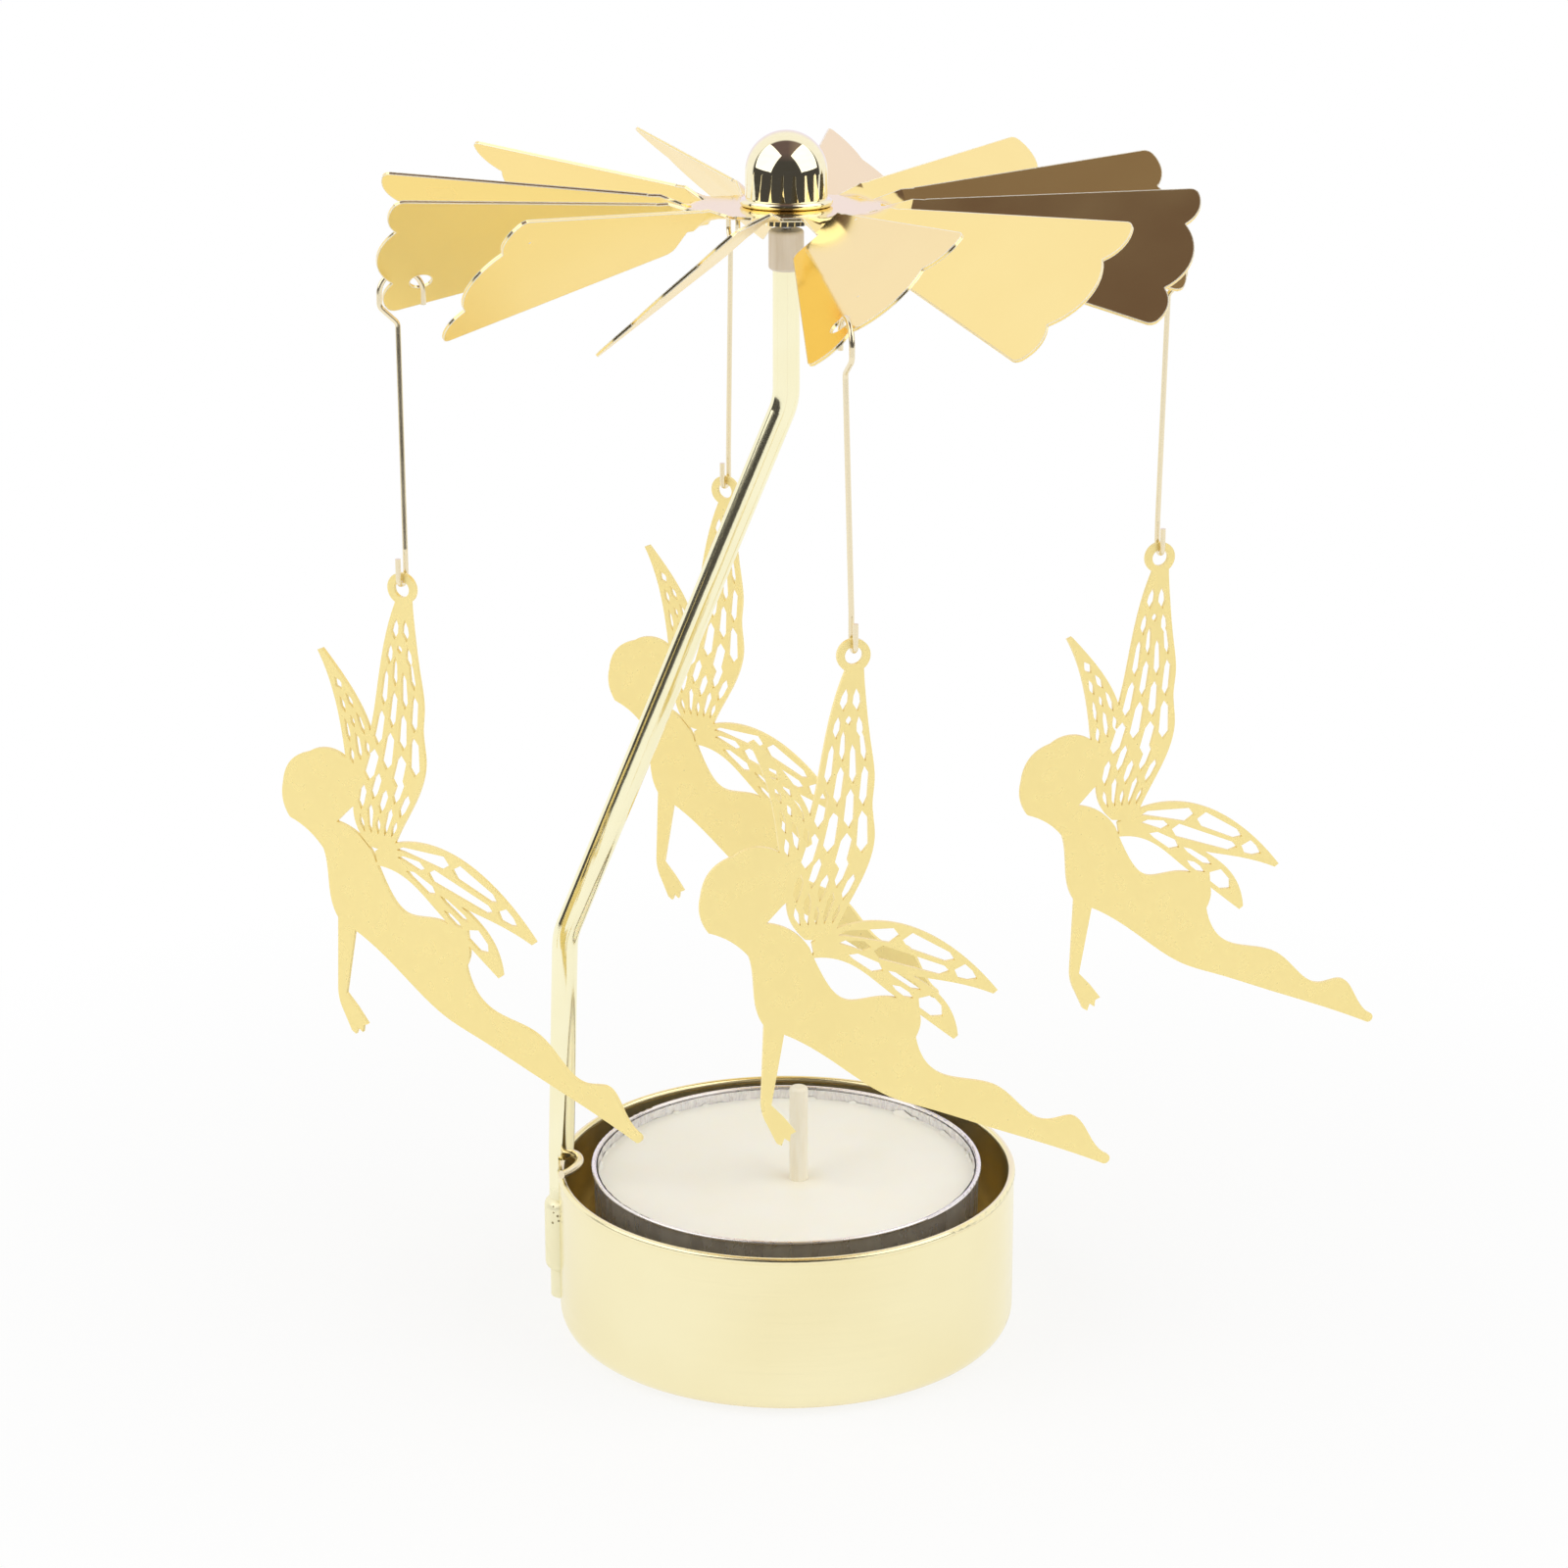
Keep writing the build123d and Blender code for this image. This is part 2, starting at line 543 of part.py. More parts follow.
def wick_sustainer():
    """Tin disc with a crimped neck that holds the wick upright."""
    floor_z = CUP_WALL + TEALIGHT_WALL
    low = (Align.CENTER, Align.CENTER, Align.MIN)
    disc = Cylinder(SUSTAINER_RADIUS, SUSTAINER_SHEET, align=low)
    neck = Cylinder(SUSTAINER_NECK_RADIUS, SUSTAINER_NECK_HEIGHT, align=low)
    bore = Pos(0, 0, SUSTAINER_SHEET) * Cylinder(WICK_RADIUS, SUSTAINER_NECK_HEIGHT, align=low)
    return Pos(*WICK_OFFSET, floor_z) * (disc + neck - bore)


def tealight_wick():
    """Cotton wick with a blunt rounded top."""
    base_z = CUP_WALL + TEALIGHT_WALL + SUSTAINER_SHEET
    low = (Align.CENTER, Align.CENTER, Align.MIN)
    wick = Cylinder(WICK_RADIUS, WICK_TOP_Z - base_z, align=low)
    wick = fillet(wick.edges().filter_by(GeomType.CIRCLE).sort_by(Axis.Z)[-1], WICK_RADIUS * 0.4)
    return Pos(*WICK_OFFSET, base_z) * wick


def tealight_wax(wick, sustainer):
    """Wax that fills the candle cup, a little dished and drawn up at the wall."""
    reach = TEALIGHT_RADIUS + 1
    surface = closed_face(
        Spline((0, WAX_Z - WAX_DISH), (TEALIGHT_RADIUS * 0.6, WAX_Z - WAX_DISH * 0.6),
               (TEALIGHT_RADIUS * 0.9, WAX_Z), (reach, WAX_Z + WAX_CREEP), tangents=((1, 0), (1, 0.4))),
        Line((reach, WAX_Z + WAX_CREEP), (reach, 0)),
        Line((reach, 0), (0, 0)),
        Line((0, 0), (0, WAX_Z - WAX_DISH)),
    )
    return (tealight_inside() & turned(surface)) - wick - sustainer


def build():
    """Every piece of the carousel by its name."""
    cup = base_cup()
    wick = tealight_wick()
    sustainer = wick_sustainer()
    pieces = {
        "base_cup": cup,
        "support_rod": support_rod(cup),
        "rim_hook": rim_hook(),
        "needle_ferrule": needle_ferrule(),
        "pivot_needle": pivot_needle(),
        "rotor_plate": tipped() * rotor_plate(),
        "dome_cap": tipped() * dome_cap(),
        "hub_washer": tipped() * hub_washer(),
        "tealight_shell": tealight_shell(),
        "tealight_wax": tealight_wax(wick, sustainer),
        "tealight_wick": wick,
        "wick_sustainer": sustainer,
    }
    sheet = figure_sheet()
    for index, name in enumerate(HANGER_NAMES):
        pieces[f"hanger_{name}"] = hanger(index)
        pieces[f"figure_{name}"] = extrude(figure_plane(index) * sheet, FIGURE_SHEET / 2, both=True)
    return pieces


def print_axes():
    """The hinge places and directions of the hangers and figures."""
    for index, name in enumerate(HANGER_NAMES):
        centre, outward, _ = hanger_points(index)
        swing = outward.cross(Vector(0, 0, 1))
        plane = figure_plane(index)
        for kind, place, axis in (("hanger", centre, swing), ("figure", plane.origin, plane.z_dir)):
            print(name, kind, tuple(round(v, 3) for v in place), tuple(round(v, 5) for v in axis))


os.makedirs("parts", exist_ok=True)
for node, shape in build().items():
    export_step(shape, f"parts/{node}.step")
print_axes()
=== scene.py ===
"""Looks of the rotating tealight carousel, dressed round its CAD frame. Metres, +Z up."""
import math

import bmesh
import bpy
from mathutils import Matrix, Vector, noise


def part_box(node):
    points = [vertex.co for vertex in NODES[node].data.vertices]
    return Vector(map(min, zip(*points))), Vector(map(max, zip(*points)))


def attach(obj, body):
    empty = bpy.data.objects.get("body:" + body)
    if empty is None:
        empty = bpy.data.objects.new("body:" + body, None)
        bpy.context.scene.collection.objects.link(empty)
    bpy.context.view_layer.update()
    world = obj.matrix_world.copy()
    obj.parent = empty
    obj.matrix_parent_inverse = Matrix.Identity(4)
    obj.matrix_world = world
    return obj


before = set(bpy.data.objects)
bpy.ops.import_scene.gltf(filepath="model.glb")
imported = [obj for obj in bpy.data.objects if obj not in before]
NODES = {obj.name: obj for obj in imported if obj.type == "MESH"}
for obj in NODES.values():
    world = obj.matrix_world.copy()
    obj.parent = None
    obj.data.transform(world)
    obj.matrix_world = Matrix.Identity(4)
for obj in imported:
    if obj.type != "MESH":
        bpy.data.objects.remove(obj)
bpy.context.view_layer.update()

SIDES = ("left", "front", "right", "back")
MM = 0.001

# Camera, fitted to the photograph's 1600 by 1600 frame
CAMERA_PLACE = (0.0, -0.4175, 0.2001)
CAMERA_PITCH_DEG = 19.17
CAMERA_NEAR = 0.01
FOCAL_PIXELS = 4758.3
FRAME_PIXELS = 1600
PRINCIPAL_POINT = (802.3, 803.1)
SENSOR_MM = 36.0

# Floor
FLOOR_RADIUS = 0.80
FLOOR_SIDES = 96
FLOOR_DROP = 0.0002
FLOOR_GLOW = 0.80
FLOOR_FADE = (0.04, 0.13)
FLOOR_COLOR = (0.93, 0.93, 0.92)

# Room, as polished metal mirrors it
WHITE = (1.0, 1.0, 1.0)
SKY_DIFFUSE_LEVEL = 0.46
ROOM_FRONT = (0.065, 0.062, 0.064)
ROOM_ABOVE = (0.145, 0.104, 0.110)
ROOM_RIGHT = (0.255, 0.195, 0.175)
ROOM_ABOVE_EDGE = (0.60, 0.90)
ROOM_RIGHT_EDGE = (0.06, 0.40)
BACKDROP_EDGE = (0.24, 0.34)
BACKDROP_TINT = (0.91, 0.855, 1.04)
BACKDROP_TINT_EDGE = (0.80, 0.96)

# Softboxes, each with the direction it stands in from the rotor
SOFTBOXES = {"softbox_left": (-0.76, -0.27, 0.58), "softbox_right": (0.76, -0.27, 0.58)}
SOFTBOX_AIM = (0.0, 0.0, 0.11)
SOFTBOX_AWAY = 0.72
SOFTBOX_SIZE = (0.84, 0.80)
SOFTBOX_POWER = 3.1

# Gold tones, the deeper and the paler of each
SHEET_GOLD = ((0.965, 0.765, 0.340), (0.975, 0.780, 0.352))
# Painted shade: a deeper gold for faces of the sheet that look down
SHEET_UNDERSIDE_SHADE = (0.985, 0.745, 0.250)
# Painted highlight: a pale tone along the sheet's edges, also used for the dust specks
SHEET_EDGE_HIGHLIGHT = (0.97, 0.94, 0.84)
FIGURE_GOLD = ((0.990, 0.815, 0.345), (1.000, 0.830, 0.360))
CUP_GOLD = ((0.925, 0.830, 0.510), (0.960, 0.880, 0.575))
CUP_INSIDE_GOLD = (1.000, 0.740, 0.300)
ROD_GOLD = ((0.945, 0.885, 0.590), (0.970, 0.920, 0.650))
DOME_GOLD = ((0.930, 0.850, 0.590), (0.960, 0.890, 0.650))
WIRE_GOLD = ((0.860, 0.750, 0.520), (0.910, 0.810, 0.590))

# Other tones, the deeper and the paler of each
FERRULE_TONES = ((0.74, 0.64, 0.52), (0.86, 0.78, 0.69))
STEEL_TONES = ((0.48, 0.48, 0.50), (0.66, 0.66, 0.68))
TIN_TONES = ((0.86, 0.81, 0.80), (0.95, 0.915, 0.905))
FOIL_TONES = ((0.76, 0.74, 0.78), (0.95, 0.94, 0.96))
WAX_TONES = ((0.980, 0.950, 0.840), (0.995, 0.975, 0.890))
WAX_BY_WICK = (0.990, 0.920, 0.740)
WICK_TONES = ((0.90, 0.83, 0.66), (0.94, 0.89, 0.76))
WELD_TONES = ((0.20, 0.17, 0.08), (0.50, 0.42, 0.22))

# Ranges that the materials share
NOISE_SPAN = (0.3, 0.7)
NOISE_CORE = (0.35, 0.65)
WHOLE = (0.0, 1.0)
FALLING = (1.0, 0.0)
UNDERSIDE_SLOPE = (-0.15, 0.15)
SHARP_LIKENESS = (0.90, 0.985)
SHARP_SAMPLES = 6
SPECK_CORE = 0.6

# Where plating is duller or less like metal than the rest
SHEET_SMEAR_SPAN = (0.3, 0.75)
SHEET_POLISH = (0.07, 0.12)
SHEET_UNDER_DULLNESS = 0.16
SHEET_EDGE_AND_DUST_DULLNESS = 0.4
SHEET_EDGE_AND_DUST_METAL = 0.3
CUP_INSIDE_METAL = 0.05
ROD_FOOT_DULLNESS = 0.3
ROD_FOOT_METAL = 0.6

# Warmer wax round the wick: where it fades, and how warm it is
WAX_WARM_FADE = (0.8 * MM, 3.4 * MM)
WAX_WARMTH = 0.7

# Places taken from the frame
SHELL_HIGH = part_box("tealight_shell")[1]
WAX_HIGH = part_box("tealight_wax")[1]
WICK_LOW, WICK_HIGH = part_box("tealight_wick")
WICK_PLACE = (WICK_LOW + WICK_HIGH) / 2
CUP_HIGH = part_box("base_cup")[1]
CUP_SHEET = 0.5 * MM
FOOT_PAD_TOP = 13.2 * MM

# Foil band and wax edge, two rings inside the candle's shell
BAND_ROWS = 6
BAND_STEPS = 360
FOIL_BELOW_WAX = 0.9 * MM
FOIL_BELOW_RIM = 0.25 * MM
FOIL_INSET = 0.14 * MM
FOIL_FINE_CREASE = 0.05 * MM
FOIL_BROAD_CREASE = 0.04 * MM
EDGE_BELOW_WAX = 0.5 * MM
EDGE_REACH = 1.5 * MM
EDGE_INSET = 0.2 * MM
EDGE_RAGGED = 0.6 * MM
EDGE_FINE_SHARE = 0.8
EDGE_CLIMB = 0.5 * MM
EDGE_LEAST_CLIMB = 0.1 * MM

# Burnt dots of the spot weld: place across, height and radius in millimetres
WELD_DOTS = (
    (-22.7, 12.2, 0.09),
    (-22.7, 11.6, 0.10),
    (-22.3, 11.3, 0.13),
    (-22.2, 10.8, 0.11),
    (-22.8, 10.5, 0.13),
)
WELD_DOT_FLATNESS = 0.25
WELD_DOT_DETAIL = 2
WELD_SEEN_FROM = -50.0 * MM


class Tree:
    """A shader's node tree, filled by short calls."""

    def __init__(self, tree):
        self.tree = tree

    def add(self, kind, properties=None, **inputs):
        """A node with some of its properties and input values set."""
        node = self.tree.nodes.new(kind)
        for name, value in (properties or {}).items():
            setattr(node, name, value)
        for name, value in inputs.items():
            node.inputs[name.replace("_", " ")].default_value = value
        return node

    def link(self, source, target):
        """Joins an output to an input."""
        self.tree.links.new(source, target)

    def fill(self, socket, value):
        """Puts a number, a colour or another node's output into an input."""
        if isinstance(value, (int, float)):
            socket.default_value = value
        elif isinstance(value, tuple):
            socket.default_value = (*value, 1.0)
        else:
            self.link(value, socket)

    def math(self, operation, first, second=0.0):
        """One sum on sockets or numbers."""
        node = self.add("ShaderNodeMath", {"operation": operation})
        self.fill(node.inputs[0], first)
        self.fill(node.inputs[1], second)
        return node.outputs[0]

    def split(self, vector):
        """The three parts of a vector."""
        node = self.add("ShaderNodeSeparateXYZ")
        self.link(vector, node.inputs[0])
        return node.outputs

    def remap(self, value, span, result=WHOLE):
        """A value moved from one range to another, held at its ends."""
        low, high = span
        new_low, new_high = result
        node = self.add("ShaderNodeMapRange", From_Min=low, From_Max=high, To_Min=new_low, To_Max=new_high)
        self.link(value, node.inputs["Value"])
        return node.outputs["Result"]

    def blend(self, factor, low, high):
        """A colour between two colours or colour sockets."""
        node = self.add("ShaderNodeMix", {"data_type": "RGBA"})
        self.link(factor, node.inputs["Factor"])
        self.fill(node.inputs[6], low)
        self.fill(node.inputs[7], high)
        return node.outputs[2]

    def lookers(self):
        """Two switches: one for what mirrors show, one for what the eye or mirrors show."""
        rays = self.add("ShaderNodeLightPath").outputs
        mirrors = rays["Is Glossy Ray"]
        return mirrors, self.math("MAXIMUM", rays["Is Camera Ray"], mirrors)


class Paint(Tree):
    """A procedural material on the row's own coordinates."""

    def __init__(self, name, color, metallic, roughness):
        self.material = bpy.data.materials.new(name)
        self.material.use_nodes = True
        super().__init__(self.material.node_tree)
        self.shader = self.tree.nodes["Principled BSDF"]
        self.set("Base Color", (*color, 1.0))
        self.set("Metallic", metallic)
        self.set("Roughness", roughness)
        self.place = self.add("ShaderNodeTexCoord").outputs["Object"]
        self.x, self.y, self.z = self.split(self.place)

    def set(self, name, value):
        """A fixed value on the shader itself."""
        self.shader.inputs[name].default_value = value

    def combine(self, *values):
        """A vector from three sockets or numbers."""
        node = self.add("ShaderNodeCombineXYZ")
        for socket, value in zip(node.inputs, values):
            self.fill(socket, value)
        return node.outputs[0]

    def radius(self, centre=(0.0, 0.0)):
        """Distance from an upright line."""
        across = self.math("SUBTRACT", self.x, centre[0])
        along = self.math("SUBTRACT", self.y, centre[1])
        squares = self.math("ADD", self.math("POWER", across, 2.0), self.math("POWER", along, 2.0))
        return self.math("SQRT", squares)

    def polar(self, turns, outward, upward):
        """Coordinates round the rotor's axis, each stretched by its own factor."""
        return self.combine(
            self.math("MULTIPLY", self.math("ARCTAN2", self.y, self.x), turns),
            self.math("MULTIPLY", self.radius(), outward),
            self.math("MULTIPLY", self.z, upward))

    def noise(self, scale=1.0, detail=3.0, vector=None, distortion=0.0):
        """A noise value; scale counts features per metre, or per unit of a given vector."""
        node = self.add("ShaderNodeTexNoise", Scale=scale, Detail=detail, Distortion=distortion)
        self.link(vector or self.place, node.inputs["Vector"])
        return node.outputs["Fac"]

    def specks(self, spacing, size, share):
        """Sparse round dots: one in a dot and zero elsewhere."""
        cells = self.add("ShaderNodeTexVoronoi", Scale=1.0 / spacing)
        self.link(self.place, cells.inputs["Vector"])
        chance = self.add("ShaderNodeSeparateColor")
        self.link(cells.outputs["Color"], chance.inputs[0])
        edge = size / spacing
        dot = self.remap(cells.outputs["Distance"], (edge * SPECK_CORE, edge), FALLING)
        return self.math("MULTIPLY", dot, self.math("LESS_THAN", chance.outputs[0], share))

    def edges(self, reach):
        """One along sharp edges and zero on open faces."""
        rounded = self.add("ShaderNodeBevel", {"samples": SHARP_SAMPLES}, Radius=reach)
        flat = self.add("ShaderNodeNewGeometry").outputs["Normal"]
        likeness = self.add("ShaderNodeVectorMath", {"operation": "DOT_PRODUCT"})
        self.link(rounded.outputs["Normal"], likeness.inputs[0])
        self.link(flat, likeness.inputs[1])
        return self.remap(likeness.outputs["Value"], SHARP_LIKENESS, FALLING)

    def underside(self):
        """One on faces that look down and zero on those that look up."""
        upward = self.split(self.add("ShaderNodeNewGeometry").outputs["Normal"])[2]
        return self.remap(upward, UNDERSIDE_SLOPE, FALLING)

    def color(self, socket):
        """The surface colour from a socket."""
        self.link(socket, self.shader.inputs["Base Color"])

    def roughness(self, socket):
        """The roughness from a socket."""
        self.link(socket, self.shader.inputs["Roughness"])

    def metallic(self, socket):
        """The share of metal from a socket."""
        self.link(socket, self.shader.inputs["Metallic"])

    def bump(self, height, depth):
        """Fine relief of a given depth in metres."""
        node = self.add("ShaderNodeBump", Strength=1.0, Distance=depth)
        self.link(height, node.inputs["Height"])
        self.link(node.outputs["Normal"], self.shader.inputs["Normal"])

    def tones(self, value, pair, span=NOISE_SPAN):
        """A colour that a noise value leads from one tone to another."""
        return self.blend(self.remap(value, span), *pair)

    def satin(self, value, low, high):
        """A roughness that a noise value leads from low to high."""
        return self.remap(value, NOISE_SPAN, (low, high))


def sheet_gold():
    """Plated sheet: polished above and satin below, with painted shade as a deeper tone on faces that look
    down, a painted highlight as a pale, duller tone along the edges, and a little dust.
    """
    paint = Paint("plated_sheet", color=SHEET_GOLD[0], metallic=1.0, roughness=0.1)
    smears = paint.noise(scale=120.0)
    dust = paint.specks(spacing=2.0 * MM, size=0.15 * MM, share=0.10)
    below_satin_and_shade = paint.underside()
    # Dust specks and a painted highlight along the edges share the pale tone; both are also duller and
    # less like metal.
    pale = paint.math("MAXIMUM", dust, paint.edges(reach=0.22 * MM))
    # Painted shade: faces that look down take the deeper gold tone.
    plating = paint.blend(below_satin_and_shade, paint.tones(smears, SHEET_GOLD, NOISE_CORE), SHEET_UNDERSIDE_SHADE)
    paint.color(paint.blend(pale, plating, SHEET_EDGE_HIGHLIGHT))
    polished = paint.remap(smears, SHEET_SMEAR_SPAN, SHEET_POLISH)
    plain = paint.math("ADD", polished, paint.math("MULTIPLY", below_satin_and_shade, SHEET_UNDER_DULLNESS))
    paint.roughness(paint.math("ADD", plain, paint.math("MULTIPLY", pale, SHEET_EDGE_AND_DUST_DULLNESS)))
    paint.metallic(paint.remap(pale, WHOLE, (1.0, SHEET_EDGE_AND_DUST_METAL)))
    paint.bump(dust, depth=0.01 * MM)
    return paint.material


def figure_gold():
    """Satin plated etched sheet, faintly clouded."""
    paint = Paint("satin_figure", color=FIGURE_GOLD[0], metallic=0.4, roughness=0.3)
    cloud = paint.noise(scale=90.0)
    grain = paint.noise(scale=700.0, detail=2.0)
    paint.color(paint.tones(cloud, FIGURE_GOLD))
    paint.roughness(paint.satin(grain, low=0.26, high=0.32))
    paint.bump(cloud, depth=0.002 * MM)
    return paint.material


def cup_gold():
    """Spun satin sheet: hair-fine rings round the wall, slow changes of tone, deeper matt gold inside."""
    paint = Paint("spun_cup", color=CUP_GOLD[0], metallic=1.0, roughness=0.22)
    rings = paint.noise(detail=5.0, vector=paint.polar(turns=2.0, outward=5200.0, upward=5200.0))
    cloud = paint.noise(detail=2.0, vector=paint.polar(turns=1.4, outward=60.0, upward=60.0))
    wall = CUP_HIGH.x - CUP_SHEET
    within = paint.remap(paint.radius(), (wall - CUP_SHEET, wall - 0.3 * CUP_SHEET), FALLING)
    above_base = paint.remap(paint.z, (0.5 * CUP_SHEET, CUP_SHEET))
    inside = paint.math("MULTIPLY", within, above_base)
    paint.color(paint.blend(inside, paint.tones(cloud, CUP_GOLD), CUP_INSIDE_GOLD))
    paint.metallic(paint.remap(inside, WHOLE, (1.0, CUP_INSIDE_METAL)))
    paint.roughness(paint.satin(rings, low=0.18, high=0.27))
    paint.bump(rings, depth=0.005 * MM)
    return paint.material


def rod_gold():
    """Polished plated wire rod with faint draw lines, matt where its foot was pressed and welded."""
    paint = Paint("polished_rod", color=ROD_GOLD[0], metallic=1.0, roughness=0.1)
    lines = paint.noise(vector=paint.polar(turns=300.0, outward=900.0, upward=40.0))
    cloud = paint.noise(scale=160.0, detail=2.0)
    foot = paint.remap(paint.z, (FOOT_PAD_TOP, FOOT_PAD_TOP + 1.0 * MM), (ROD_FOOT_DULLNESS, 0.0))
    paint.color(paint.tones(cloud, ROD_GOLD))
    paint.roughness(paint.math("ADD", paint.satin(lines, low=0.08, high=0.14), foot))
    paint.metallic(paint.remap(foot, (0.0, ROD_FOOT_DULLNESS), (1.0, ROD_FOOT_METAL)))
    paint.bump(paint.noise(scale=700.0, detail=2.0), depth=0.002 * MM)
    return paint.material


def dome_gold():
    """Mirror-polished plating with very fine wipe marks."""
    paint = Paint("mirror_dome", color=DOME_GOLD[0], metallic=1.0, roughness=0.03)
    wipes = paint.noise(vector=paint.polar(turns=3.0, outward=2600.0, upward=2600.0))
    paint.color(paint.tones(wipes, DOME_GOLD))
    paint.roughness(paint.satin(wipes, low=0.015, high=0.05))
    paint.bump(paint.noise(scale=420.0, detail=2.0), depth=0.004 * MM)
    return paint.material


def wire_gold():
    """Thin plated wire, duller in places."""
    paint = Paint("plated_wire", color=WIRE_GOLD[0], metallic=1.0, roughness=0.2)
    cloud = paint.noise(scale=160.0, detail=2.0)
    paint.color(paint.tones(cloud, WIRE_GOLD))
    paint.roughness(paint.satin(cloud, low=0.16, high=0.26))
    paint.bump(cloud, depth=0.004 * MM)
    return paint.material


def ferrule_plastic():
    """Matt beige-grey sleeve, mottled, with slight upright scuffs."""
    paint = Paint("matt_ferrule", color=(0.58, 0.49, 0.38), metallic=0.0, roughness=0.55)
    scuffs = paint.noise(vector=paint.polar(turns=3.0, outward=200.0, upward=160.0))
    paint.color(paint.tones(scuffs, FERRULE_TONES))
    paint.roughness(paint.satin(scuffs, low=0.42, high=0.62))
    paint.bump(paint.noise(scale=2600.0), depth=0.02 * MM)
    return paint.material


def needle_steel():
    """Ground steel."""
    paint = Paint("ground_steel", color=(0.55, 0.55, 0.57), metallic=1.0, roughness=0.25)
    rings = paint.noise(vector=paint.polar(turns=1.0, outward=500.0, upward=5000.0))
    paint.color(paint.blend(rings, *STEEL_TONES))
    paint.roughness(paint.satin(rings, low=0.18, high=0.34))
    paint.bump(rings, depth=0.004 * MM)
    return paint.material


def thin_aluminium():
    """Bright pressed aluminium, lightly dented, with a faint warm cast."""
    paint = Paint("thin_aluminium", color=(0.90, 0.86, 0.85), metallic=0.85, roughness=0.3)
    dents = paint.noise(vector=paint.polar(turns=14.0, outward=300.0, upward=220.0), distortion=0.6)
    paint.color(paint.tones(dents, TIN_TONES))
    paint.roughness(paint.satin(dents, low=0.22, high=0.34))
    paint.bump(dents, depth=0.02 * MM)
    return paint.material


def crinkled_foil():
    """Foil above the wax, finely creased, with a faint violet cast."""
    paint = Paint("crinkled_foil", color=(0.80, 0.78, 0.84), metallic=1.0, roughness=0.3)
    round_wall = paint.polar(turns=60.0, outward=300.0, upward=900.0)
    creases = paint.noise(detail=4.0, vector=round_wall, distortion=0.8)
    paint.color(paint.tones(creases, FOIL_TONES, NOISE_CORE))
    paint.roughness(paint.satin(creases, low=0.24, high=0.45))
    paint.bump(creases, depth=0.08 * MM)
    return paint.material


def candle_wax():
    """Cream paraffin: light passes a little way in, faintly mottled on top, warmer by the wick."""
    paint = Paint("candle_wax", color=(0.95, 0.93, 0.87), metallic=0.0, roughness=0.42)
    mottle = paint.noise(scale=150.0, detail=4.0)
    by_wick = paint.remap(paint.radius(WICK_PLACE[:2]), WAX_WARM_FADE, (WAX_WARMTH, 0.0))
    paint.color(paint.blend(by_wick, paint.tones(mottle, WAX_TONES), WAX_BY_WICK))
    paint.roughness(paint.satin(paint.noise(scale=700.0, detail=2.0), low=0.36, high=0.52))
    paint.set("Subsurface Weight", 0.2)
    paint.set("Subsurface Radius", (1.0, 0.75, 0.5))
    paint.set("Subsurface Scale", 2.0 * MM)
    paint.bump(mottle, depth=0.08 * MM)
    return paint.material


def wick_cotton():
    """Waxed cotton with fine upright fibres."""
    paint = Paint("waxed_cotton", color=(0.92, 0.86, 0.70), metallic=0.0, roughness=0.6)
    across, upward = 2600.0, 260.0
    fibres = paint.noise(vector=paint.combine(
        paint.math("MULTIPLY", paint.x, across),
        paint.math("MULTIPLY", paint.y, across),
        paint.math("MULTIPLY", paint.z, upward)))
    paint.color(paint.tones(fibres, WICK_TONES))
    paint.roughness(paint.satin(fibres, low=0.5, high=0.7))
    paint.bump(fibres, depth=0.02 * MM)
    return paint.material


def weld_scar():
    """Burnt plating of a spot weld."""
    paint = Paint("weld_scar", color=(0.45, 0.33, 0.16), metallic=0.6, roughness=0.5)
    burn = paint.noise(scale=3000.0)
    paint.color(paint.tones(burn, WELD_TONES))
    paint.roughness(paint.satin(burn, low=0.45, high=0.65))
    paint.bump(burn, depth=0.02 * MM)
    return paint.material


def dress(name, material):
    """Puts one material on a CAD node."""
    mesh = NODES[name].data
    mesh.materials.clear()
    mesh.materials.append(material)


def new_piece(name, shape, material, body):
    """A visual piece that moves with a body."""
    mesh = bpy.data.meshes.new(name)
    shape.to_mesh(mesh)
    shape.free()
    mesh.materials.append(material)
    mesh.shade_smooth()
    piece = bpy.data.objects.new(name, mesh)
    bpy.context.scene.collection.objects.link(piece)
    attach(piece, body)


def ring_band(place):
    """A closed band: place gives the radius and height for a row's share and an angle."""
    shape = bmesh.new()
    grid = []
    for row in range(BAND_ROWS + 1):
        line = []
        for step in range(BAND_STEPS):
            angle = 2.0 * math.pi * step / BAND_STEPS
            radius, height = place(row / BAND_ROWS, angle)
            line.append(shape.verts.new((radius * math.cos(angle), radius * math.sin(angle), height)))
        grid.append(line)
    for low, high in zip(grid, grid[1:]):
        for step in range(BAND_STEPS):
            after = (step + 1) % BAND_STEPS
            shape.faces.new((low[step], low[after], high[after], high[step]))
    return shape


def ripple(angle, turns, seed, height=0.0):
    """Smooth noise round a circle."""
    return noise.noise(Vector((turns * math.cos(angle), turns * math.sin(angle), seed + height)))


def foil_band(wall):
    """Creased foil between the wax and the rolled rim."""
    low = WAX_HIGH.z - FOIL_BELOW_WAX
    high = SHELL_HIGH.z - FOIL_BELOW_RIM

    def place(share, angle):
        fine = FOIL_FINE_CREASE * ripple(angle, turns=24.0, seed=3.0, height=4.0 * share)
        broad = FOIL_BROAD_CREASE * ripple(angle, turns=9.0, seed=8.0, height=2.0 * share)
        return wall - FOIL_INSET + fine + broad, low + (high - low) * share

    return ring_band(place)


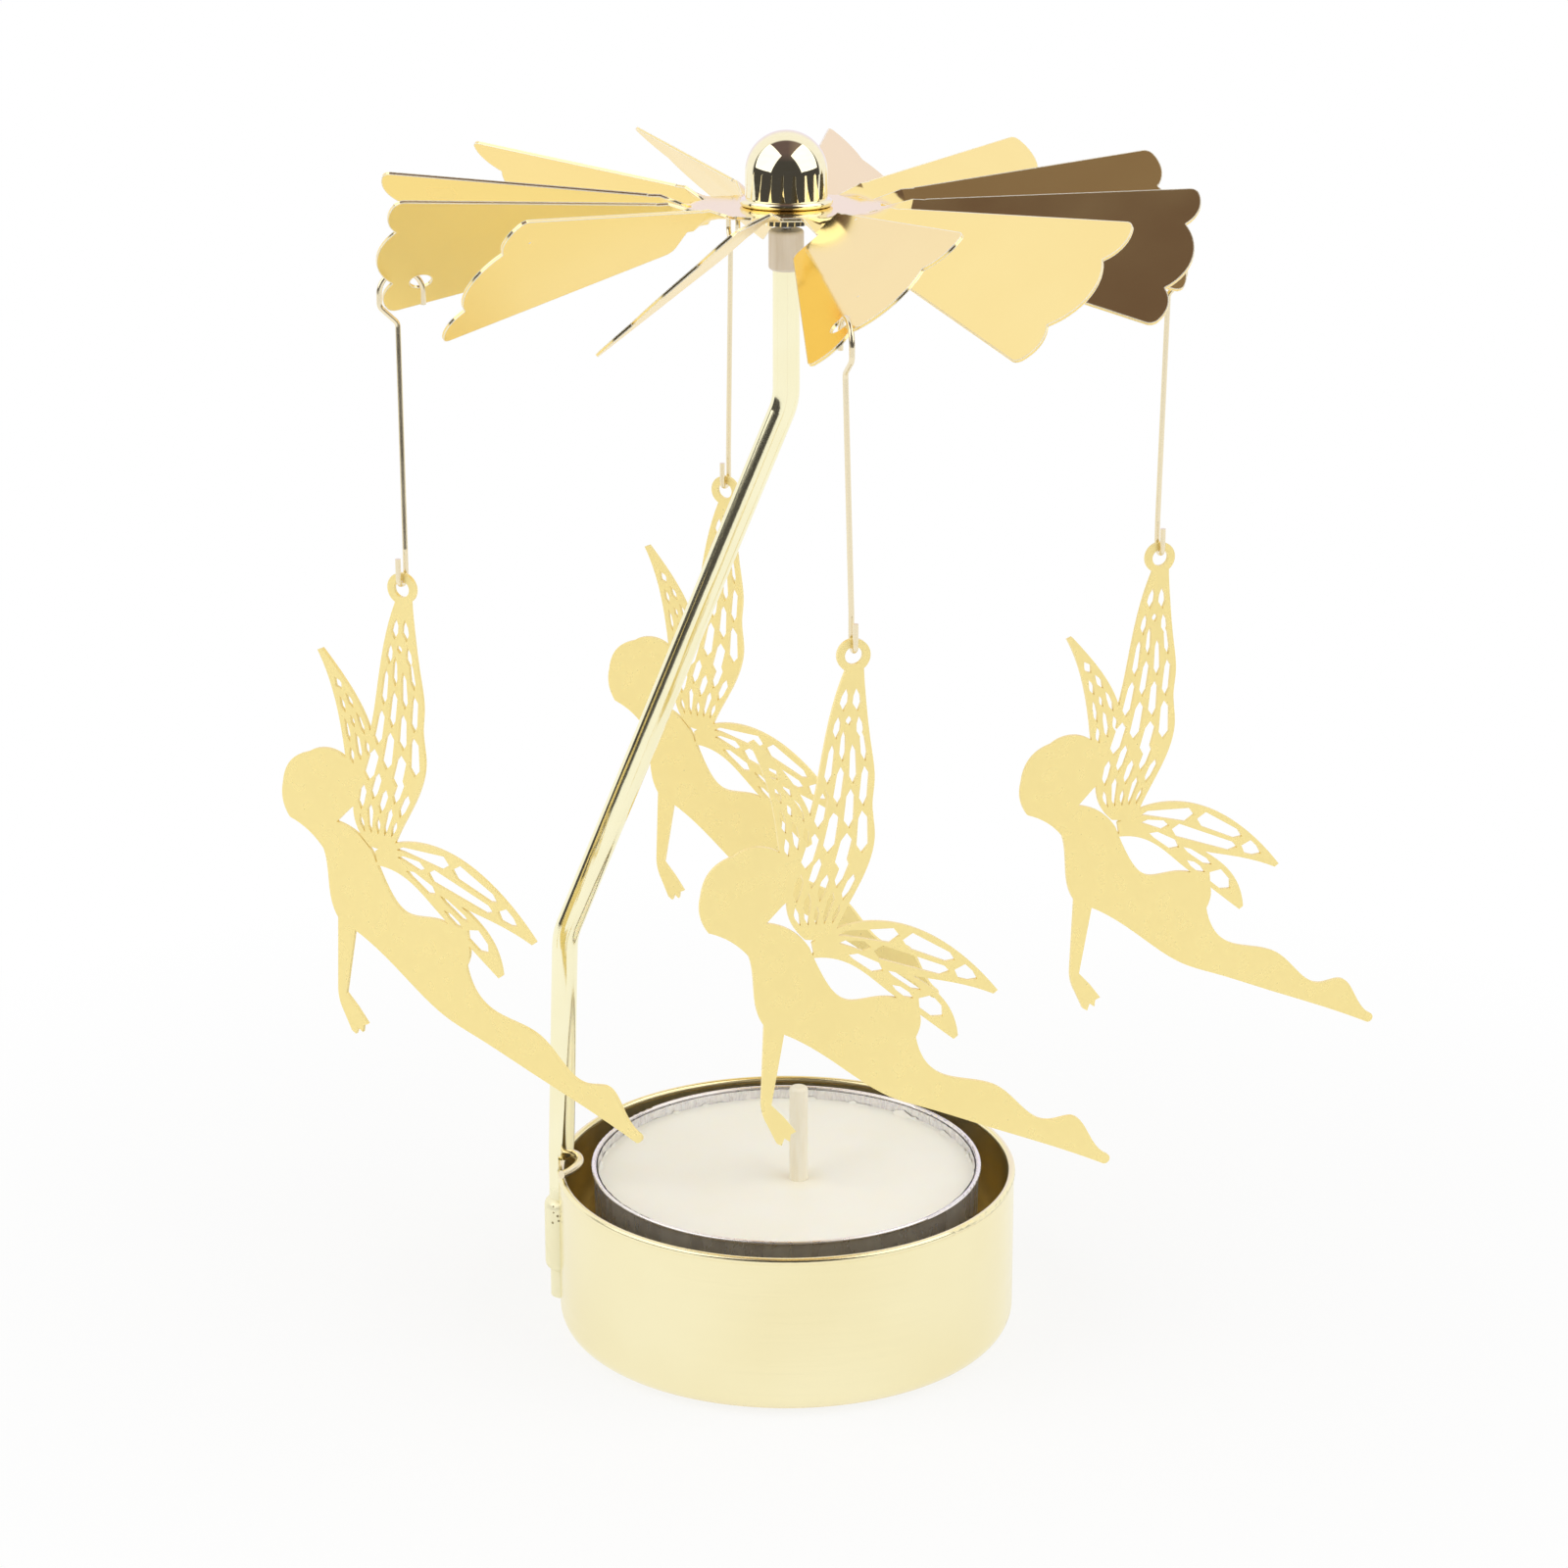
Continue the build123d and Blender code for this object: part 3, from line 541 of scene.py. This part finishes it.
def wax_edge(wall):
    """Ragged edge where the wax set against the foil."""
    low = WAX_HIGH.z - EDGE_BELOW_WAX

    def place(share, angle):
        fine = EDGE_FINE_SHARE * ripple(angle, turns=26.0, seed=5.0)
        ragged = EDGE_RAGGED * (ripple(angle, turns=7.0, seed=1.0) + fine)
        climb = max(EDGE_LEAST_CLIMB, EDGE_CLIMB + ragged)
        return wall - EDGE_INSET - EDGE_REACH * (1.0 - share), low + climb * share ** 2.0

    return ring_band(place)


def weld_spots():
    """Small burnt dots of the spot weld, set flush in the face of the rod's foot."""
    shape = bmesh.new()
    for x, z, size in WELD_DOTS:
        start = Vector((x * MM, WELD_SEEN_FROM, z * MM))
        found, spot, normal, _ = NODES["support_rod"].ray_cast(start, Vector((0.0, 1.0, 0.0)))
        if found:
            made = bmesh.ops.create_icosphere(shape, subdivisions=WELD_DOT_DETAIL, radius=size * MM)
            bmesh.ops.scale(shape, vec=(1.0, 1.0, WELD_DOT_FLATNESS), verts=made["verts"])
            turn = normal.to_track_quat("Z", "Y").to_matrix()
            bmesh.ops.rotate(shape, matrix=turn, verts=made["verts"])
            bmesh.ops.translate(shape, vec=spot, verts=made["verts"])
    return shape


def dress_nodes():
    """Gives every CAD node its material and adds the small visual pieces."""
    figure = figure_gold()
    wire = wire_gold()
    dome = dome_gold()
    tin = thin_aluminium()
    wax = candle_wax()
    dress("base_cup", cup_gold())
    dress("support_rod", rod_gold())
    dress("rim_hook", wire)
    dress("needle_ferrule", ferrule_plastic())
    dress("pivot_needle", needle_steel())
    dress("rotor_plate", sheet_gold())
    dress("dome_cap", dome)
    dress("hub_washer", dome)
    dress("tealight_shell", tin)
    dress("tealight_wax", wax)
    dress("tealight_wick", wick_cotton())
    dress("wick_sustainer", tin)
    for side in SIDES:
        dress(f"hanger_{side}", wire)
        dress(f"figure_{side}", figure)
    wall = WAX_HIGH.x
    new_piece("tealight_foil", foil_band(wall), crinkled_foil(), "tealight")
    new_piece("wax_edge", wax_edge(wall), wax, "tealight")
    new_piece("weld_spots", weld_spots(), weld_scar(), "stand")


def make_camera():
    """The photograph's viewpoint."""
    data = bpy.data.cameras.new("camera")
    data.sensor_width = SENSOR_MM
    data.lens = FOCAL_PIXELS / FRAME_PIXELS * SENSOR_MM
    middle = FRAME_PIXELS / 2
    data.shift_x = (middle - PRINCIPAL_POINT[0]) / FRAME_PIXELS
    data.shift_y = (PRINCIPAL_POINT[1] - middle) / FRAME_PIXELS
    data.clip_start = CAMERA_NEAR
    camera = bpy.data.objects.new("camera", data)
    camera.location = CAMERA_PLACE
    camera.rotation_euler = (math.radians(90.0 - CAMERA_PITCH_DEG), 0.0, 0.0)
    bpy.context.scene.collection.objects.link(camera)
    bpy.context.scene.camera = camera


def make_sky():
    """White to the eye and behind the object; polished metal shows a dim room in front and above."""
    world = bpy.data.worlds.new("studio")
    bpy.context.scene.world = world
    world.use_nodes = True
    sky = Tree(world.node_tree)
    background = sky.tree.nodes["Background"]
    mirrors, seen = sky.lookers()
    x, y, z = sky.split(sky.add("ShaderNodeTexCoord").outputs["Generated"])
    ceiling = sky.blend(sky.remap(x, ROOM_RIGHT_EDGE), ROOM_ABOVE, ROOM_RIGHT)
    room = sky.blend(sky.remap(z, ROOM_ABOVE_EDGE), ROOM_FRONT, ceiling)
    backdrop = sky.blend(sky.remap(y, BACKDROP_TINT_EDGE), WHITE, BACKDROP_TINT)
    mirrored = sky.blend(sky.remap(y, BACKDROP_EDGE), room, backdrop)
    sky.link(sky.blend(mirrors, WHITE, mirrored), background.inputs["Color"])
    sky.link(sky.remap(seen, WHOLE, (SKY_DIFFUSE_LEVEL, 1.0)), background.inputs["Strength"])


def floor_material():
    """Matt near-white that keeps a soft shadow and runs out into the white backdrop."""
    material = bpy.data.materials.new("floor")
    material.use_nodes = True
    floor = Tree(material.node_tree)
    floor.tree.nodes.clear()
    output = floor.add("ShaderNodeOutputMaterial")
    matt = floor.add("ShaderNodeBsdfDiffuse", Color=(*FLOOR_COLOR, 1.0))
    glow = floor.add("ShaderNodeEmission")
    away = floor.add("ShaderNodeVectorMath", {"operation": "LENGTH"})
    floor.link(floor.add("ShaderNodeTexCoord").outputs["Object"], away.inputs[0])
    _, seen = floor.lookers()
    share = floor.math("MULTIPLY", seen, floor.remap(away.outputs["Value"], FLOOR_FADE, (FLOOR_GLOW, 1.0)))
    mix = floor.add("ShaderNodeMixShader")
    floor.link(share, mix.inputs["Fac"])
    floor.link(matt.outputs[0], mix.inputs[1])
    floor.link(glow.outputs[0], mix.inputs[2])
    floor.link(mix.outputs[0], output.inputs["Surface"])
    return material


def make_floor():
    """Pale round floor."""
    mesh = bpy.data.meshes.new("floor")
    shape = bmesh.new()
    bmesh.ops.create_circle(shape, cap_ends=True, segments=FLOOR_SIDES, radius=FLOOR_RADIUS)
    shape.to_mesh(mesh)
    shape.free()
    mesh.materials.append(floor_material())
    floor = bpy.data.objects.new("floor", mesh)
    floor.location.z = -FLOOR_DROP
    bpy.context.scene.collection.objects.link(floor)


def make_softboxes():
    """Two softboxes, high on the left and the right, that look at the rotor."""
    for name, direction in SOFTBOXES.items():
        data = bpy.data.lights.new(name, "AREA")
        data.shape = "RECTANGLE"
        data.size, data.size_y = SOFTBOX_SIZE
        data.energy = SOFTBOX_POWER
        lamp = bpy.data.objects.new(name, data)
        away = Vector(direction).normalized()
        lamp.location = Vector(SOFTBOX_AIM) + away * SOFTBOX_AWAY
        lamp.rotation_euler = (-away).to_track_quat("-Z", "Y").to_euler()
        bpy.context.scene.collection.objects.link(lamp)


bpy.context.scene.view_settings.view_transform = "Standard"
make_camera()
make_sky()
make_floor()
make_softboxes()
dress_nodes()
